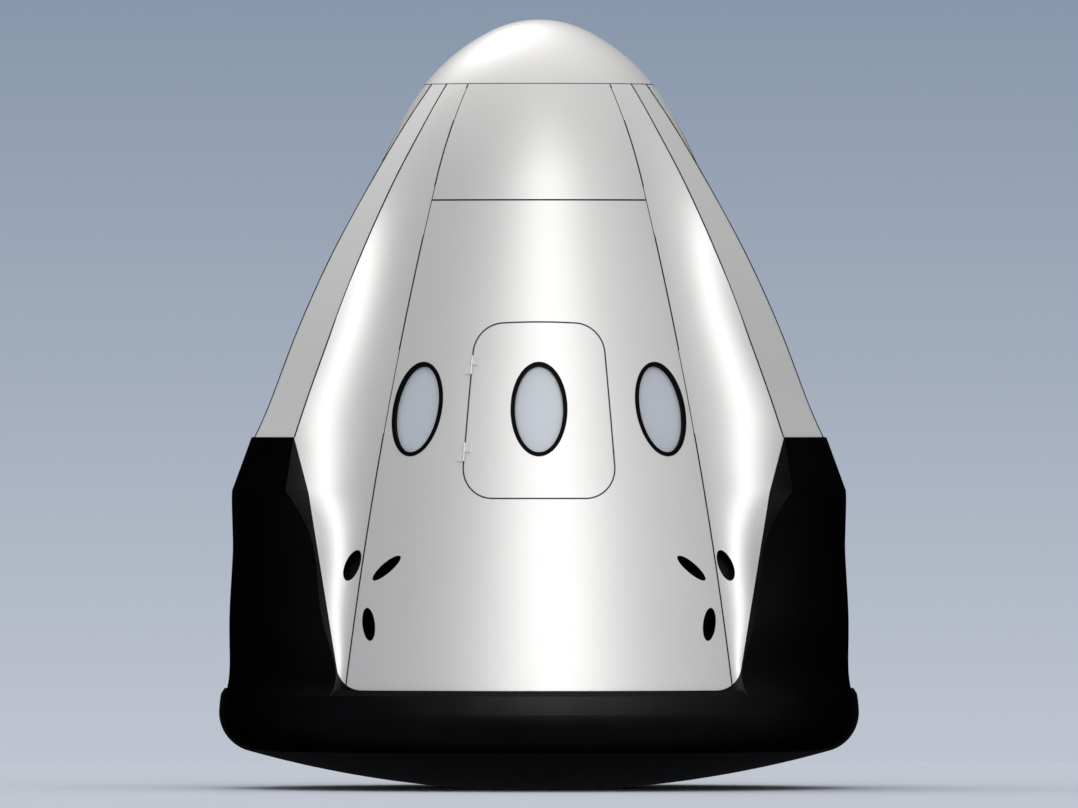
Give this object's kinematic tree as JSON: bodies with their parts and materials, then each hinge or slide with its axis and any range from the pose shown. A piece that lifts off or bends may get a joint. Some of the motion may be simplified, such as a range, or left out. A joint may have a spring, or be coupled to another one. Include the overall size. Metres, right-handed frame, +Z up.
{
  "type": "space capsule",
  "caption": "White crewed space capsule with flat-faced pods, black foot covers, a side hatch with a window, side windows, and a nose cap hinged over a docking ring.",
  "frame": {"origin": "on the floor under the middle of the heat shield", "axes": "+Z up through the nose, -Y towards the side hatch, +X to the right of one who looks at the hatch"},
  "size_m": [3.9998, 3.9998, 4.803],
  "materials": {
    "white_panel": "satin",
    "black_skin": "satin",
    "heat_shield": "matt",
    "window_rim": "satin",
    "window_glass": "polished",
    "nozzle": "matt",
    "bare_metal": "satin",
    "deck_panel": "satin",
    "seat_shell": "satin",
    "seat_fabric": "woven",
    "console_black": "gloss"
  },
  "bodies": {
    "root": {"base_band": "black_skin", "cabin_floor": "deck_panel", "console": "console_black", "console_posts": "bare_metal", "docking_petals": "bare_metal", "docking_ring": "bare_metal", "docking_tunnel": "bare_metal", "forward_deck": "deck_panel", "forward_hatch_lugs": "bare_metal", "forward_thrusters": "nozzle", "front_skin": "white_panel", "front_upper_panel": "white_panel", "hatch_hinge_knuckles": "white_panel", "heat_shield": "heat_shield", "nose_hinge_lugs": "bare_metal", "pod_cover_front_left": "black_skin", "pod_cover_front_right": "black_skin", "pod_cover_rear_left": "black_skin", "pod_cover_rear_right": "black_skin", "pod_fairing_front_left": "white_panel", "pod_fairing_front_right": "white_panel", "pod_fairing_rear_left": "white_panel", "pod_fairing_rear_right": "white_panel", "rear_skin": "white_panel", "rear_upper_panel": "white_panel", "seat_cushions": "seat_fabric", "seat_frames": "seat_shell", "side_skin_left": "white_panel", "side_skin_right": "white_panel", "side_window_panes": "window_glass", "side_window_rims": "window_rim", "thruster_nozzles_front": "nozzle", "thruster_nozzles_rear": "nozzle"},
    "nose": {"nose_cap": "white_panel", "nose_hinge_arm": "bare_metal"},
    "side_hatch": {"hatch_door": "white_panel", "hatch_window_rim": "window_rim", "hatch_window_pane": "window_glass", "hatch_latch": "bare_metal", "hatch_hinge_leaves": "white_panel"},
    "forward_lid": {"forward_hatch": "deck_panel", "forward_hatch_arm": "bare_metal"}
  },
  "joints": [
    {"name": "nose_cap_hinge", "type": "hinge", "parent": "root", "child": "nose", "pos_m": [0, 0.778, 4.394], "axis": [-1, 0, 0], "range_deg": [0, 105]},
    {"name": "side_hatch_hinge", "type": "hinge", "parent": "root", "child": "side_hatch", "pos_m": [-0.46497, -1.54079, 2.1027], "axis": [-0.0825, -0.2717, -0.9588], "range_deg": [0, 110]},
    {"name": "forward_hatch_hinge", "type": "hinge", "parent": "root", "child": "forward_lid", "pos_m": [0, 0.5, 4.14], "axis": [1, 0, 0], "range_deg": [0, 95]}
  ]
}
